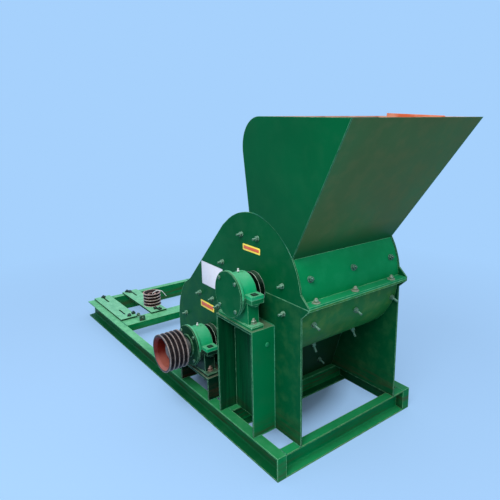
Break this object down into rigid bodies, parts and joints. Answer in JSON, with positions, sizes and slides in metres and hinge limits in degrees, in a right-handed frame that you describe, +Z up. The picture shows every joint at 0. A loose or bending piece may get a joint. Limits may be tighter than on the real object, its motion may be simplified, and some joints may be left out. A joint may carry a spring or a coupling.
{
  "type": "sand making machine",
  "caption": "Double-rotor hammer crusher for making sand: flared feed hopper, two rotors in split bearings, grooved pulleys, channel skid with motor rails.",
  "frame": {"origin": "middle of the machine's footprint box, on the floor", "axes": "+X along the skid towards the hopper and discharge end, +Y away from the side with the closed bearing, +Z up"},
  "size_m": [2.959, 1.296, 1.668],
  "materials": {
    "frame_paint": "glossy green enamel on rolled steel",
    "body_paint": "green enamel on plate",
    "hopper_paint": "green enamel outside, primer inside",
    "bearing_paint": "green enamel on cast housings",
    "shaft_steel": "turned steel",
    "rotor_steel": "dull steel",
    "hammer_steel": "cast steel",
    "pulley_iron": "black painted, red primer in the dish",
    "motor_pulley_iron": "turned cast iron with light rust"
  },
  "bodies": {
    "machine": {"near_long_channel": "frame_paint", "far_long_channel": "frame_paint", "front_cross_channel": "frame_paint", "rear_cross_channel": "frame_paint", "motor_cross_beam": "frame_paint", "body_rear_beam": "frame_paint", "body_front_beam": "frame_paint", "near_motor_rail": "frame_paint", "far_motor_rail": "frame_paint", "motor_pulley": "motor_pulley_iron", "near_lower_side_plate": "body_paint", "far_lower_side_plate": "body_paint", "near_upper_side_plate": "body_paint", "far_upper_side_plate": "body_paint", "front_upper_shell": "body_paint", "front_lower_shell": "body_paint", "rear_upper_shell": "body_paint", "rear_lower_shell": "body_paint", "hopper_near_wall": "hopper_paint", "hopper_far_wall": "hopper_paint", "hopper_front_wall": "hopper_paint", "hopper_back_wall": "hopper_paint", "upper_near_pedestal": "frame_paint", "upper_far_pedestal": "frame_paint", "lower_near_pedestal": "frame_paint", "lower_far_pedestal": "frame_paint", "upper_near_bearing_base": "bearing_paint", "upper_far_bearing_base": "bearing_paint", "lower_near_bearing_base": "bearing_paint", "lower_far_bearing_base": "bearing_paint", "upper_near_bearing_cap": "bearing_paint", "upper_far_bearing_cap": "bearing_paint", "lower_near_bearing_cap": "bearing_paint", "lower_far_bearing_cap": "bearing_paint", "bearing_covers": "bearing_paint", "shaft_seals": "bearing_paint"},
    "upper_rotor": {"upper_shaft": "shaft_steel", "upper_discs": "rotor_steel", "upper_hammers": "hammer_steel", "upper_pulley": "pulley_iron"},
    "lower_rotor": {"lower_shaft": "shaft_steel", "lower_discs": "rotor_steel", "lower_hammers": "hammer_steel", "lower_near_pulley": "pulley_iron", "lower_far_pulley": "pulley_iron"}
  },
  "joints": [
    {"name": "upper_rotor_spin", "type": "hinge", "parent": "machine", "child": "upper_rotor", "pos_m": [0.7655, 0, 0.836], "axis": [0, 1, 0], "continuous": true},
    {"name": "lower_rotor_spin", "type": "hinge", "parent": "machine", "child": "lower_rotor", "pos_m": [0.3325, 0, 0.41], "axis": [0, 1, 0], "continuous": true}
  ]
}
